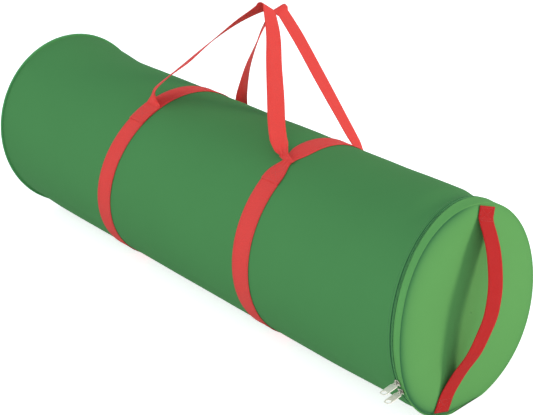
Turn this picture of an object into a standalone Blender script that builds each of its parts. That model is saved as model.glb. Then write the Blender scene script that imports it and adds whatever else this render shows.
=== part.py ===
"""Round zipped bag for rolls of gift wrap: a fabric tube with a lid, webbing bands and handles.

The bag lies on its side. +X runs from the closed far end to the lid, +Y to the back and +Z up.
The origin is on the floor under the middle of the tube. Angles around the tube are in degrees
from the front (-Y), and 90 is the top. All sizes are in metres.
"""
import math

import bmesh
import bpy
from mathutils import Matrix, Vector

# Tube
TUBE_LENGTH = 1.028
TUBE_RADIUS = 0.168
FLOOR_SAG = 0.004
CLOTH = 0.0012
GAP = 0.0003
SIDES_AROUND = 60
DISC_SHARES = (0.35, 0.7, 1.0)

# Far end, which is a little wider than the tube and leans
FAR_SPREAD = 0.0045
FAR_RISE = 0.0105
FAR_LEAN = 5.5
FAR_FLARE = 0.12
FAR_STEPS = 4
FAR_CROWN = 0.009
PIPING_RADIUS = 0.0025
PIPING_SIDES = 6

# Zip ring, a true circle that leans back and turns a little to the side
ZIP_SETBACK = 0.0207
ZIP_LEAN = 7.49
ZIP_YAW = 4.35
LEAN_REACH = 0.2
FLOOR_CLEARANCE = 0.0005

# Lid, whose edge is wavy: sine and cosine parts of its waves along X, one to three times round,
# as shares of its radius
LID_DEPTH = 0.0187
RIM_WAVE_SHARES = ((-0.1147, 0.0092), (0.0045, 0.0254), (-0.0065, 0.0109))
LID_CROWN = 0.005

# Zip
TAPE = 0.0006
TAPE_WIDTH_BODY = 0.013
LID_TAPE_SHARE = 0.35
CHAIN_HEIGHT = 0.002
CHAIN_WIDTH = 0.0024
CHAIN_SPLIT = 0.0006
CLOTH_SETBACK = 0.0036
LID_SEAT = 0.0047
STOP_LENGTH = 0.004
STOP_WALL = 0.0006

# Hinge strip of uncut cloth behind the ends of the zip
HINGE_ANGLE = 162
HINGE_HALF_ANGLE = 12
HINGE_PROUD = 0.001

# Facing and bindings inside the seams
FACING = 0.0008
FACING_WIDTH = 0.017
FACING_SETBACK = 0.005
LID_BINDING_SHARE = 0.38
BINDING_WIDTH_FAR = 0.016
SEAM_WIDTH = 0.02
SEAM_ANGLE = -126
SEAM_MARGIN = 0.06

# Sliders and pulls
SLIDER_ANGLE_UPPER = -19.6
SLIDER_ANGLE_LOWER = -26.4
SLIDER_LENGTH = 0.011
SLIDER_WIDTH = 0.0084
SLIDER_NOSE_SHARE = 0.62
PLATE = 0.0011
PLATE_CLEARANCE = 0.00045
POST_WIDTH = 0.0006
FLANGE = 0.0007
BRIDGE_LENGTH = 0.008
BRIDGE_WIDTH = 0.0018
BRIDGE_HEIGHT = 0.0034
BRIDGE_WALL = 0.0012
PULL_LENGTH = 0.036
PULL_WIDTH = 0.012
PULL_THICKNESS = 0.0012
PULL_NECK_WIDTH = 0.0086
PULL_BAR = 0.0013
PULL_WINDOW_LENGTH = 0.0052
PULL_WINDOW_WIDTH = 0.0038
PULL_EYE_RADIUS = 0.0042
PULL_EYE_SIDES = 20

# Webbing
WEB_WIDTH = 0.038
WEB = 0.0014
BAND_PLACE_SHARES = {"left": -0.1741, "right": 0.1809}
BAND_DRIFTS = {"left": 0.021, "right": -0.004}
BAND_DRIFT_ANGLE = 100
BAND_RECESS_MARGIN = 0.006
LAP_LENGTH = 0.046

# Carry handles, held up so that they meet over the tube
JOINT_ANGLES = {"front": 69.5, "rear": 156}
APEX_PLACES = {"front": (0.0141, 0.0572, 0.358), "rear": (0.0066, 0.0885, 0.3479)}
FOLD_REACH = 0.010
LEG_STATIONS = 18
FOLD_STATIONS = 4
# Shares of the way up each leg, and how far it bows there along X, Y and Z as shares of its length
LEG_BOW_SHARES = {
    "front_left": ((0.08, (-0.045, -0.027, 0.028)), (0.2, (-0.048, -0.022, 0.039)),
                   (0.4, (-0.042, -0.021, 0.032)), (0.6, (-0.038, -0.015, 0.034)),
                   (0.8, (-0.025, -0.006, 0.027))),
    "front_right": ((0.08, (-0.017, -0.022, -0.005)), (0.2, (-0.023, -0.028, -0.005)),
                    (0.4, (-0.014, -0.017, -0.002)), (0.6, (-0.006, -0.007, -0.001)),
                    (0.8, (0.004, 0.006, 0.003))),
    "rear_left": ((0.08, (-0.012, -0.010, 0.004)), (0.2, (-0.026, -0.023, 0.006)),
                  (0.4, (-0.038, -0.030, 0.014)), (0.6, (-0.038, -0.027, 0.018)),
                  (0.8, (-0.029, -0.017, 0.018))),
    "rear_right": ((0.08, (-0.002, -0.001, 0.005)), (0.2, (-0.003, -0.008, -0.006)),
                   (0.4, (-0.002, -0.005, -0.004)), (0.6, (-0.002, -0.001, 0.001)),
                   (0.8, (-0.002, 0.003, 0.007))),
}
# Shares of the way up each leg, and the turn of the webbing there in degrees
LEG_TURN_SHARES = {
    "front_left": ((0, 0), (0.04, -21), (0.09, -40), (0.15, -43), (0.22, -47), (0.3, -45), (0.4, -42),
                   (0.5, -45), (0.6, -49), (0.7, -53), (0.8, -59), (0.9, -65), (1, -81)),
    "front_right": ((0, -180), (0.035, -146), (0.08, -114), (0.13, -102), (0.2, -101), (0.4, -100),
                    (0.6, -96), (0.8, -92), (1, -83)),
    "rear_left": ((0, 180), (0.06, 177), (0.14, 171), (0.27, 156), (0.4, 144), (0.55, 130), (0.67, 123),
                  (0.8, 112), (1, 93)),
    "rear_right": ((0, 180), (0.06, 168), (0.125, 144), (0.2, 122), (0.4, 115), (0.6, 112), (0.8, 113),
                   (1, 118)),
}
# Shares of the way up each leg, and the share of the webbing's width there, where it is gathered
LEG_WIDTH_SHARES = {
    "front_left": ((0, 1), (0.05, 0.7), (0.12, 1), (1, 1)),
    "front_right": ((0, 1), (0.035, 0.45), (0.08, 0.7), (0.13, 1), (1, 1)),
    "rear_left": ((0, 1), (1, 1)),
    "rear_right": ((0, 1), (1, 1)),
}
# Share of each leg over which it turns away from the band
LEG_ROOT_SHARE = 0.08
# Pace of the steps at the foot of a leg, as a share of the pace over the whole leg
ROOT_SPEED = 0.45

# Grab strap across the lid
STRAP_TURN = 21.4
STRAP_OFFSET = 0.0091
STRAP_TOP_INSET = 0.006
STRAP_BOTTOM_INSET = 0.0088
STRAP_BOW = 0.04
STRAP_BOW_LEAN = 8.6
STRAP_STATIONS = 28
# Shares of the way down the strap, and of its bow there
STRAP_BOW_SHARES = (
    (0, 0), (0.05, 0), (0.08, 0.1), (0.124, 0.31), (0.19, 0.57), (0.271, 0.79), (0.36, 0.95), (0.44, 1),
    (0.5, 0.985), (0.568, 0.88), (0.679, 0.66), (0.782, 0.3), (0.875, 0.07), (0.93, 0), (1, 0),
)

BODY_GREEN = (0.067, 0.233, 0.083)
LID_GREEN = (0.138, 0.402, 0.117)
DARK_GREEN = (0.035, 0.15, 0.07)
WEB_RED = (0.60, 0.055, 0.05)
SILVER = (0.85, 0.84, 0.82)

AXIS_HEIGHT = TUBE_RADIUS - FLOOR_SAG
MOUTH_RADIUS = TUBE_RADIUS - CHAIN_HEIGHT + CLOTH
TAPE_OUTSIDE = MOUTH_RADIUS - CLOTH - GAP
TAPE_INSIDE = TAPE_OUTSIDE - TAPE
CHAIN_INSIDE = TAPE_OUTSIDE + GAP
CHAIN_OUTSIDE = CHAIN_INSIDE + CHAIN_HEIGHT
FACING_OUTSIDE = TAPE_INSIDE - GAP
MOUTH_HEIGHT = CHAIN_OUTSIDE * math.cos(math.radians(ZIP_LEAN)) + FLOOR_CLEARANCE
FAR_X = -TUBE_LENGTH / 2
FAR_RADIUS = TUBE_RADIUS + FAR_SPREAD
ZIP_X = TUBE_LENGTH / 2 - ZIP_SETBACK
LID_X = ZIP_X + LID_DEPTH
BAND_PLACES = {side: TUBE_LENGTH * share for side, share in BAND_PLACE_SHARES.items()}
BAND_OUTSIDE = TUBE_RADIUS + GAP + WEB
LAP_OUTSIDE = BAND_OUTSIDE + GAP + WEB
JOINT_RADIUS = LAP_OUTSIDE + GAP + WEB / 2
PLATE_INSIDE = CHAIN_OUTSIDE + PLATE_CLEARANCE
PLATE_OUTSIDE = PLATE_INSIDE + PLATE
BAR_RADIUS = PLATE_OUTSIDE + PULL_BAR / 2 + GAP
STRAP_SEAT = WEB / 2 + 3 * GAP
STRAP_TOP = TUBE_RADIUS - STRAP_TOP_INSET
STRAP_BOTTOM = TUBE_RADIUS - STRAP_BOTTOM_INSET


def clear_scene():
    for piece in list(bpy.data.objects):
        bpy.data.objects.remove(piece, do_unlink=True)


def material(name, colour, roughness, metallic=0.0):
    made = bpy.data.materials.new(name)
    made.use_nodes = True
    shader = made.node_tree.nodes["Principled BSDF"]
    shader.inputs["Base Color"].default_value = (*colour, 1)
    shader.inputs["Roughness"].default_value = roughness
    shader.inputs["Metallic"].default_value = metallic
    return made


def ease(share):
    """Smooth step from 0 to 1."""
    share = min(max(share, 0), 1)
    return share * share * (3 - 2 * share)


def ease_in(share):
    """Share of the way that starts slowly, so that steps lie closer together at the start."""
    return share * (ROOT_SPEED + (1 - ROOT_SPEED) * share)


def glide(table, share):
    """Value at a share of the way, on a smooth curve through a table of (share, value)."""
    slopes = []
    for n in range(len(table)):
        before, after = table[max(n - 1, 0)], table[min(n + 1, len(table) - 1)]
        slopes.append((after[1] - before[1]) / (after[0] - before[0]))
    for n in range(len(table) - 1):
        (start, low), (end, high) = table[n], table[n + 1]
        if share <= end or n == len(table) - 2:
            span = end - start
            t = min(max((share - start) / span, 0), 1)
            rise = (2 * t**3 - 3 * t**2 + 1) * low + (3 * t**2 - 2 * t**3) * high
            return rise + span * ((t**3 - 2 * t**2 + t) * slopes[n] + (t**3 - t**2) * slopes[n + 1])


def ring_frame(centre, lean, yaw=0.0):
    """Matrix of a ring that leans back and turns: its X axis is the ring's normal, Z points up."""
    turned = Matrix.Rotation(math.radians(yaw), 4, "Z") @ Matrix.Rotation(-math.radians(lean), 4, "Y")
    return Matrix.Translation(centre) @ turned


def around(frame, radius, angle, along=0.0):
    """Point of a ring at an angle, in degrees from the front, moved along the ring's normal."""
    turn = math.radians(angle)
    return frame @ Vector((along, -radius * math.cos(turn), radius * math.sin(turn)))


ZIP_FRAME = ring_frame((ZIP_X, 0, MOUTH_HEIGHT), ZIP_LEAN, ZIP_YAW)
FAR_FRAME = ring_frame((FAR_X, 0, AXIS_HEIGHT + FAR_RISE), FAR_LEAN)


def angles(start=0, end=360):
    """Angles at the tube's own steps between two angles, with both ends."""
    step = 360 / SIDES_AROUND
    count = max(round((end - start) / step), 1)
    return [start + (end - start) * n / count for n in range(count + 1)]


FULL_CIRCLE = angles()[:-1]


def band_centre(side, angle):
    drift = BAND_DRIFTS[side] * math.cos(math.radians(angle - BAND_DRIFT_ANGLE))
    return BAND_PLACES[side] + drift


def floor_height(x):
    """Lowest point of the tube's cloth: lifted where a band passes under it."""
    for side in BAND_PLACES:
        if abs(x - band_centre(side, -90)) <= (WEB_WIDTH + BAND_RECESS_MARGIN) / 2:
            return WEB + GAP
    return 0.0


def tube_point(x, angle, outward=0.0):
    """Point of the tube's outer surface, or one that lies outward of it by a distance."""
    far = 1 - ease((x - FAR_X) / FAR_FLARE)
    near = 1 - ease((ZIP_X - x) / LEAN_REACH)
    radius = TUBE_RADIUS + (FAR_RADIUS - TUBE_RADIUS) * far + outward
    height = AXIS_HEIGHT + FAR_RISE * far + (MOUTH_HEIGHT - AXIS_HEIGHT) * near
    lean = FAR_LEAN * far + ZIP_LEAN * near
    point = around(ring_frame((x, 0, height), lean, ZIP_YAW * near), radius, angle)
    point.z = max(point.z, floor_height(x) - outward)
    return point


def finish_mesh(name, mesh_tools, slot, smooth_angle=40):
    """Object from a bmesh, with its faces pointing out."""
    bmesh.ops.recalc_face_normals(mesh_tools, faces=mesh_tools.faces)
    mesh = bpy.data.meshes.new(name)
    mesh_tools.to_mesh(mesh)
    mesh_tools.free()
    mesh.shade_smooth()
    mesh.set_sharp_from_angle(angle=math.radians(smooth_angle))
    piece = bpy.data.objects.new(name, mesh)
    bpy.context.collection.objects.link(piece)
    mesh.materials.append(slot)
    return piece


def add_sheet(tools, outer, inner, closed):
    """Closed solid between two grids of points. Closed joins each row's last point to its first."""
    grids = [[[tools.verts.new(p) for p in row] for row in grid] for grid in (outer, inner)]
    rows, columns = len(outer), len(outer[0])
    steps = columns if closed else columns - 1
    for grid in grids:
        for r in range(rows - 1):
            for c in range(steps):
                d = (c + 1) % columns
                tools.faces.new((grid[r][c], grid[r][d], grid[r + 1][d], grid[r + 1][c]))
    for r in (0, rows - 1):
        for c in range(steps):
            d = (c + 1) % columns
            tools.faces.new((grids[0][r][c], grids[0][r][d], grids[1][r][d], grids[1][r][c]))
    if not closed:
        for c in (0, columns - 1):
            for r in range(rows - 1):
                tools.faces.new((grids[0][r][c], grids[0][r + 1][c], grids[1][r + 1][c], grids[1][r][c]))


def sheet(name, outer, inner, slot, closed=False):
    tools = bmesh.new()
    add_sheet(tools, outer, inner, closed)
    return finish_mesh(name, tools, slot)


def ring_sheet(name, frame, outside, inside, alongs, slot, span=None):
    """Band of cloth on a ring between two radii, all the way round or between two angles."""
    turns = angles(*span) if span else FULL_CIRCLE
    outer = [[around(frame, outside, a, u) for a in turns] for u in alongs]
    inner = [[around(frame, inside, a, u) for a in turns] for u in alongs]
    return sheet(name, outer, inner, slot, closed=not span)


def disc(name, point, thickness, crown, facing, slot):
    """Round panel with a crowned outer face. Facing is 1 or -1, the way its outside points.

    Point is a function of the angle, the share of the radius and the distance along the normal.
    """
    tools = bmesh.new()
    skins = []
    for depth in (thickness, 0.0):
        rows = []
        for share in DISC_SHARES:
            along = facing * (depth + crown * (1 - share**2))
            rows.append([tools.verts.new(point(a, share, along)) for a in FULL_CIRCLE])
        skins.append((rows, tools.verts.new(point(0, 0.0, facing * (depth + crown)))))
    for rows, middle in skins:
        for c in range(SIDES_AROUND):
            d = (c + 1) % SIDES_AROUND
            tools.faces.new((middle, rows[0][c], rows[0][d]))
            for low, high in zip(rows, rows[1:]):
                tools.faces.new((low[c], high[c], high[d], low[d]))
    for c in range(SIDES_AROUND):
        d = (c + 1) % SIDES_AROUND
        top, bottom = skins[0][0][-1], skins[1][0][-1]
        tools.faces.new((top[c], top[d], bottom[d], bottom[c]))
    return finish_mesh(name, tools, slot)


def strip(name, frames, slot):
    """Webbing that follows frames of (centre, vector across it, as long as the share of its width)."""
    outer, inner = [], []
    for n, (centre, across) in enumerate(frames):
        before, after = frames[max(n - 1, 0)][0], frames[min(n + 1, len(frames) - 1)][0]
        face = (after - before).cross(across).normalized() * WEB / 2
        edges = (centre - across * WEB_WIDTH / 2, centre + across * WEB_WIDTH / 2)
        outer.append([edge + face for edge in edges])
        inner.append([edge - face for edge in edges])
    return sheet(name, outer, inner, slot)


def carry(pieces, name, matrix):
    """Empty on a joint's axis that carries pieces built in world coordinates."""
    axis = bpy.data.objects.new(name, None)
    axis.matrix_world = matrix
    bpy.context.collection.objects.link(axis)
    for piece in pieces:
        piece.data.transform(matrix.inverted())
        piece.parent = axis
    return axis


def make_tube(slots):
    """Tube of cloth, flared and leaned at its far end and leaned at its mouth."""
    stations = [FAR_X, FAR_X + BINDING_WIDTH_FAR]
    stations += [FAR_X + FAR_FLARE * n / FAR_STEPS for n in range(1, FAR_STEPS + 1)]
    for side in ("left", "right"):
        centre = band_centre(side, -90)
        half = WEB_WIDTH / 2
        recess = BAND_RECESS_MARGIN / 2
        stations += [centre - half - 2 * recess, centre - half - recess]
        stations += [centre + half + recess, centre + half + 2 * recess]
    stations += [ZIP_X - LEAN_REACH * 3 / 4, ZIP_X - LEAN_REACH / 2, ZIP_X - LEAN_REACH / 4]
    outer = [[tube_point(x, a) for a in FULL_CIRCLE] for x in stations]
    inner = [[tube_point(x, a, -CLOTH) for a in FULL_CIRCLE] for x in stations]
    for u in (-FACING_SETBACK - FACING_WIDTH, -CLOTH_SETBACK):
        outer.append([around(ZIP_FRAME, MOUTH_RADIUS, a, u) for a in FULL_CIRCLE])
        inner.append([around(ZIP_FRAME, MOUTH_RADIUS - CLOTH, a, u) for a in FULL_CIRCLE])
    sheet("body_tube", outer, inner, slots["body"], closed=True)


def make_seam_binding(slots):
    """Tape over the lengthwise seam, along the inside of the tube."""
    reach = (FAR_X + FAR_FLARE + SEAM_MARGIN, ZIP_X - LEAN_REACH - SEAM_MARGIN)
    half = math.degrees(SEAM_WIDTH / 2 / TUBE_RADIUS)
    turns = (SEAM_ANGLE - half, SEAM_ANGLE + half)
    outer = [[tube_point(x, a, -CLOTH - 2 * GAP) for a in turns] for x in reach]
    inner = [[tube_point(x, a, -CLOTH - 2 * GAP - FACING) for a in turns] for x in reach]
    sheet("body_seam_binding", outer, inner, slots["trim"])


def far_point(angle, share, along):
    return around(FAR_FRAME, FAR_RADIUS * share, angle, along - GAP)


def make_far_end(slots):
    """Round end panel, the piping around it and the binding over the seam inside."""
    disc("far_end_panel", far_point, CLOTH, FAR_CROWN, -1, slots["body"])
    middle = FAR_RADIUS + PIPING_RADIUS + GAP
    tools = bmesh.new()
    rows = []
    for n in range(PIPING_SIDES):
        turn = 2 * math.pi * n / PIPING_SIDES
        radius = middle + PIPING_RADIUS * math.cos(turn)
        row = [around(FAR_FRAME, radius, a, PIPING_RADIUS * math.sin(turn)) for a in FULL_CIRCLE]
        rows.append([tools.verts.new((p.x, p.y, max(p.z, 0))) for p in row])
    for r in range(PIPING_SIDES):
        low, high = rows[r], rows[(r + 1) % PIPING_SIDES]
        for c in range(SIDES_AROUND):
            d = (c + 1) % SIDES_AROUND
            tools.faces.new((low[c], low[d], high[d], high[c]))
    finish_mesh("far_piping", tools, slots["trim"])
    reach = (FAR_X, FAR_X + BINDING_WIDTH_FAR)
    outer = [[tube_point(x, a, -CLOTH - GAP) for a in FULL_CIRCLE] for x in reach]
    inner = [[tube_point(x, a, -CLOTH - GAP - FACING) for a in FULL_CIRCLE] for x in reach]
    sheet("far_seam_binding", outer, inner, slots["trim"], closed=True)


def make_bands(slots):
    """Two bands of webbing right round the tube, with the sewn ends of the handles on them."""
    for side in BAND_PLACES:
        outer, inner = [], []
        for edge in (-WEB_WIDTH / 2, WEB_WIDTH / 2):
            outer.append([tube_point(band_centre(side, a) + edge, a, GAP + WEB) for a in FULL_CIRCLE])
            inner.append([tube_point(band_centre(side, a) + edge, a, GAP) for a in FULL_CIRCLE])
        sheet(f"band_{side}", outer, inner, slots["webbing"], closed=True)
        for place, joint in JOINT_ANGLES.items():
            down = -1 if place == "front" else 1
            end = joint + down * math.degrees(LAP_LENGTH / TUBE_RADIUS)
            turns = angles(joint, end) if end > joint else angles(end, joint)
            rows = []
            for outward in (LAP_OUTSIDE - TUBE_RADIUS, BAND_OUTSIDE + GAP - TUBE_RADIUS):
                rows.append([
                    [tube_point(band_centre(side, a) + edge, a, outward) for a in turns]
                    for edge in (-WEB_WIDTH / 2, WEB_WIDTH / 2)
                ])
            sheet(f"handle_lap_{place}_{side}", rows[0], rows[1], slots["webbing"])


def joint_point(place, side):
    """Point on a handle's joint axis, over the band."""
    angle = JOINT_ANGLES[place]
    frame = ring_frame((band_centre(side, angle), 0, AXIS_HEIGHT), 0)
    return around(frame, JOINT_RADIUS, angle)


def leg_frames(place, side):
    """Frames up one leg of a handle, from its joint to the point where the handle folds."""
    foot = joint_point(place, side)
    apex = Vector(APEX_PLACES[place]) + Vector((0, 0, AXIS_HEIGHT))
    leg = f"{place}_{side}"
    length = (apex - foot).length
    bows = ((0, (0, 0, 0)), *LEG_BOW_SHARES[leg], (1, (0, 0, 0)))
    centres = []
    for n in range(LEG_STATIONS + 1):
        share = ease_in(n / LEG_STATIONS)
        bow = Vector([glide([(at, shares[i]) for at, shares in bows], share) for i in range(3)])
        centres.append((share, foot.lerp(apex, share) + bow * length))
    frames = []
    for n, (share, centre) in enumerate(centres):
        along = centres[min(n + 1, LEG_STATIONS)][1] - centres[max(n - 1, 0)][1]
        along.normalize()
        free = ease(share / LEG_ROOT_SHARE)
        level = Vector((1, 0, 0)) - along * along.x * free
        level.normalize()
        turn = math.radians(glide(LEG_TURN_SHARES[leg], share))
        across = level * math.cos(turn) + along.cross(level) * math.sin(turn)
        frames.append((centre, across * glide(LEG_WIDTH_SHARES[leg], share)))
    return frames


def handle_frames(place):
    """Frames over a whole handle, with a rounded fold where it is held up."""
    left, right = leg_frames(place, "left"), leg_frames(place, "right")
    apex = left[-1][0]
    across = (left[-1][1] + right[-1][1]).normalized()
    left = [frame for frame in left if (frame[0] - apex).length > FOLD_REACH]
    right = [frame for frame in right if (frame[0] - apex).length > FOLD_REACH]
    sides = [apex + (frame[0] - apex).normalized() * FOLD_REACH for frame in (left[-1], right[-1])]
    fold = []
    for n in range(FOLD_STATIONS + 1):
        share = n / FOLD_STATIONS
        point = sides[0].lerp(apex, share).lerp(apex.lerp(sides[1], share), share)
        fold.append((point, across))
    return left + fold + right[::-1]


def make_handles(slots):
    for place in JOINT_ANGLES:
        handle = strip(f"handle_{place}", handle_frames(place), slots["webbing"])
        middle = (joint_point(place, "left") + joint_point(place, "right")) / 2
        carry([handle], f"handle_{place}_axis", Matrix.Translation(middle))


def chain_ends():
    """Angles of the two ends of the zip, on either side of the hinge strip."""
    return HINGE_ANGLE + HINGE_HALF_ANGLE - 360, HINGE_ANGLE - HINGE_HALF_ANGLE


def lid_point(angle, share, along, inset=0.0):
    """Point of the lid's wavy face at a share of its radius, less an inset, moved along X."""
    turn = math.radians(angle)
    x = LID_X + along
    for n, (sine, cosine) in enumerate(RIM_WAVE_SHARES, 1):
        x += TUBE_RADIUS * share**n * (sine * math.sin(n * turn) + cosine * math.cos(n * turn))
    radius = TUBE_RADIUS * share - inset
    height = AXIS_HEIGHT + radius * math.sin(turn)
    return Vector((x, -radius * math.cos(turn), max(height, inset + FLOOR_CLEARANCE)))


def lid_wall_point(inset, angle, share):
    """Point of the lid's side wall, at a share of the way from where it leaves the zip to its edge."""
    low = around(ZIP_FRAME, MOUTH_RADIUS - inset, angle, LID_SEAT)
    return low.lerp(lid_point(angle, 1.0, -GAP, inset), share)


def make_lid_tape(slots):
    """Tape of the lid's side of the zip, which follows the lid's side wall."""
    turns = angles(*chain_ends())
    rows = []
    for inset in (MOUTH_RADIUS - TAPE_OUTSIDE, MOUTH_RADIUS - TAPE_INSIDE):
        edge = [around(ZIP_FRAME, MOUTH_RADIUS - inset, a, CHAIN_SPLIT) for a in turns]
        bend = [lid_wall_point(inset, a, 0) for a in turns]
        rows.append([edge, bend, [lid_wall_point(inset, a, LID_TAPE_SHARE) for a in turns]])
    return sheet("zip_tape_lid", rows[0], rows[1], slots["tape"])


def make_zip_side(side, facing, slots):
    """Row of teeth and end stops of one side of the zip. Facing is 1 or -1 along the ring."""
    start, end = chain_ends()
    stop = math.degrees(STOP_LENGTH / TUBE_RADIUS)
    clear = math.degrees(GAP / TUBE_RADIUS)
    near, far = facing * CHAIN_SPLIT, facing * (CHAIN_SPLIT + CHAIN_WIDTH)
    inset = stop + clear
    chain = ring_sheet(f"zip_chain_{side}", ZIP_FRAME, CHAIN_OUTSIDE, CHAIN_INSIDE,
                       (near, far), slots["teeth"], (start + inset, end - inset))
    pieces = [chain]
    for end_name, low in (("low", start), ("high", end - stop)):
        outer, inner = [], []
        for u in (near, far):
            turns = (low, low + stop)
            outer.append([around(ZIP_FRAME, CHAIN_OUTSIDE + STOP_WALL, a, u) for a in turns])
            inner.append([around(ZIP_FRAME, CHAIN_INSIDE, a, u) for a in turns])
        pieces.append(sheet(f"zip_stop_{side}_{end_name}", outer, inner, slots["metal"]))
    return pieces


def make_mouth(slots):
    """Facing behind the zip and the strip of cloth on which the lid turns."""
    ring_sheet("mouth_facing", ZIP_FRAME, FACING_OUTSIDE, FACING_OUTSIDE - FACING,
               (-FACING_SETBACK - FACING_WIDTH, -FACING_SETBACK), slots["trim"])
    clear = math.degrees(GAP / TUBE_RADIUS)
    half = HINGE_HALF_ANGLE - clear
    reach = CLOTH_SETBACK - GAP
    ring_sheet("lid_hinge_strip", ZIP_FRAME, MOUTH_RADIUS, MOUTH_RADIUS - CLOTH,
               (-reach, reach), slots["lid"], (HINGE_ANGLE - half, HINGE_ANGLE + half))


def make_lid(slots):
    """Lid: its side wall, round face, inner binding, grab strap and side of the zip."""
    walls = []
    for inset in (0.0, CLOTH):
        rows = [[around(ZIP_FRAME, MOUTH_RADIUS - inset, a, CLOTH_SETBACK) for a in FULL_CIRCLE]]
        for share in (0, LID_TAPE_SHARE, 1 - LID_BINDING_SHARE, 1):
            rows.append([lid_wall_point(inset, a, share) for a in FULL_CIRCLE])
        walls.append(rows)
    pieces = [sheet("lid_band", walls[0], walls[1], slots["lid"], closed=True)]
    pieces.append(disc("lid_panel", lid_point, CLOTH, LID_CROWN, 1, slots["lid"]))
    rows = []
    for inset in (CLOTH + 2 * GAP, CLOTH + 2 * GAP + FACING):
        reach = (1 - LID_BINDING_SHARE, 1)
        rows.append([[lid_wall_point(inset, a, share) for a in FULL_CIRCLE] for share in reach])
    pieces.append(sheet("lid_seam_binding", rows[0], rows[1], slots["trim"], closed=True))
    pieces.append(make_lid_strap(slots))
    pieces.append(make_lid_tape(slots))
    pieces += make_zip_side("lid", 1, slots)
    hinge = around(ZIP_FRAME, MOUTH_RADIUS + HINGE_PROUD, HINGE_ANGLE)
    carry(pieces, "lid_hinge_axis", Matrix.Translation(hinge) @ ZIP_FRAME.to_3x3().to_4x4())


def on_lid(sideways, upward):
    """Point of the lid's outer face, at a place to the side of its middle and above it."""
    share = math.hypot(sideways, upward) / TUBE_RADIUS
    angle = math.degrees(math.atan2(upward, -sideways))
    return lid_point(angle, share, CLOTH + LID_CROWN * max(1 - share**2, 0))


def make_lid_strap(slots):
    """Grab strap: sewn flat at both ends, standing out from the lid between them."""
    turn, lean = math.radians(STRAP_TURN), math.radians(STRAP_BOW_LEAN)
    down = Vector((-math.sin(turn), -math.cos(turn)))
    across = Vector((math.cos(turn), -math.sin(turn)))
    outward = Vector((math.cos(lean), 0, math.sin(lean)))
    half = WEB_WIDTH / 2
    frames = []
    for n in range(STRAP_STATIONS + 1):
        share = n / STRAP_STATIONS
        place = across * -STRAP_OFFSET + down * (-STRAP_TOP + (STRAP_TOP + STRAP_BOTTOM) * share)
        edges = [on_lid(*(place + across * reach)) for reach in (-half, half)]
        stand = STRAP_SEAT + STRAP_BOW * max(glide(STRAP_BOW_SHARES, share), 0)
        frames.append(((edges[0] + edges[1]) / 2 + outward * stand, (edges[1] - edges[0]).normalized()))
    return strip("lid_handle", frames, slots["webbing"])


def add_box(tools, low, high):
    """Box between two corners."""
    made = bmesh.ops.create_cube(tools, size=1)["verts"]
    low, high = Vector(low), Vector(high)
    for vert in made:
        share = vert.co + Vector((0.5, 0.5, 0.5))
        vert.co = [low[i] + (high[i] - low[i]) * share[i] for i in range(3)]


def union(target, tool_piece):
    """Join a second closed shape to a piece and remove the second object."""
    joined = target.modifiers.new("join", "BOOLEAN")
    joined.operation = "UNION"
    joined.solver = "EXACT"
    joined.object = tool_piece
    bpy.context.view_layer.update()
    shape = bpy.data.meshes.new_from_object(target.evaluated_get(bpy.context.evaluated_depsgraph_get()))
    target.modifiers.clear()
    target.data = shape
    bpy.data.objects.remove(tool_piece, do_unlink=True)


def slider_frame(angle):
    """Matrix of a slider: X across the zip, Y along it and Z outward, with the origin on the ring's axis."""
    turn = Matrix.Rotation(math.radians(90 - angle), 4, "X")
    return ZIP_FRAME @ turn


def slider_plate(name, low, high, slot):
    """Plate of a slider, drawn in towards the nose, between two heights."""
    half, nose = SLIDER_WIDTH / 2, SLIDER_WIDTH / 2 * SLIDER_NOSE_SHARE
    end, shoulder = SLIDER_LENGTH / 2, SLIDER_LENGTH / 5
    outline = ((-half, -shoulder), (-nose, -end), (nose, -end), (half, -shoulder), (half, end), (-half, end))
    tools = bmesh.new()
    bottom = tools.faces.new([tools.verts.new((x, y, low)) for x, y in outline])
    raised = bmesh.ops.extrude_face_region(tools, geom=[bottom])["geom"]
    for vert in [item for item in raised if isinstance(item, bmesh.types.BMVert)]:
        vert.co.z = high
    return finish_mesh(name, tools, slot)


def box_piece(name, low, high, slot):
    tools = bmesh.new()
    add_box(tools, low, high)
    return finish_mesh(name, tools, slot)


def make_slider(name, angle, facing, slots):
    """Slider: two plates joined by a post in the split of the zip, with a bridge for the pull.

    Facing is 1 or -1: the end where the two rows of teeth part points to greater or smaller angles.
    """
    low = TAPE_INSIDE - PLATE_CLEARANCE
    half, end = SLIDER_WIDTH / 2, SLIDER_LENGTH / 2
    slider = slider_plate(name, PLATE_INSIDE, PLATE_OUTSIDE, slots["metal"])
    union(slider, slider_plate("lower_plate", low - PLATE, low, slots["metal"]))
    post = POST_WIDTH / 2
    union(slider, box_piece("post", (-post, 0, low - PLATE / 2),
                            (post, end - PLATE, PLATE_INSIDE + PLATE / 2), slots["metal"]))
    union(slider, box_piece("flange", (-half, -end / 3, PLATE_INSIDE - FLANGE / 2),
                            (-half + FLANGE, end, PLATE_INSIDE + PLATE / 2), slots["metal"]))
    reach, wide, top = BRIDGE_LENGTH / 2, BRIDGE_WIDTH / 2, PLATE_OUTSIDE + BRIDGE_HEIGHT
    root = PLATE_OUTSIDE - PLATE / 2
    wall = BRIDGE_WALL
    bridge = box_piece("bridge", (-wide, -reach, root), (wide, wall - reach, top), slots["metal"])
    union(bridge, box_piece("bridge_end", (-wide, reach - wall, root), (wide, reach, top), slots["metal"]))
    union(bridge, box_piece("bridge_top", (-wide, -reach, top - wall), (wide, reach, top), slots["metal"]))
    union(slider, bridge)
    slider.name = name
    slider.data.transform(slider_frame(angle) @ Matrix.Diagonal((1, facing, 1, 1)))
    if facing < 0:
        slider.data.flip_normals()
    carry([slider], f"{name}_axis", ZIP_FRAME)


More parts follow.
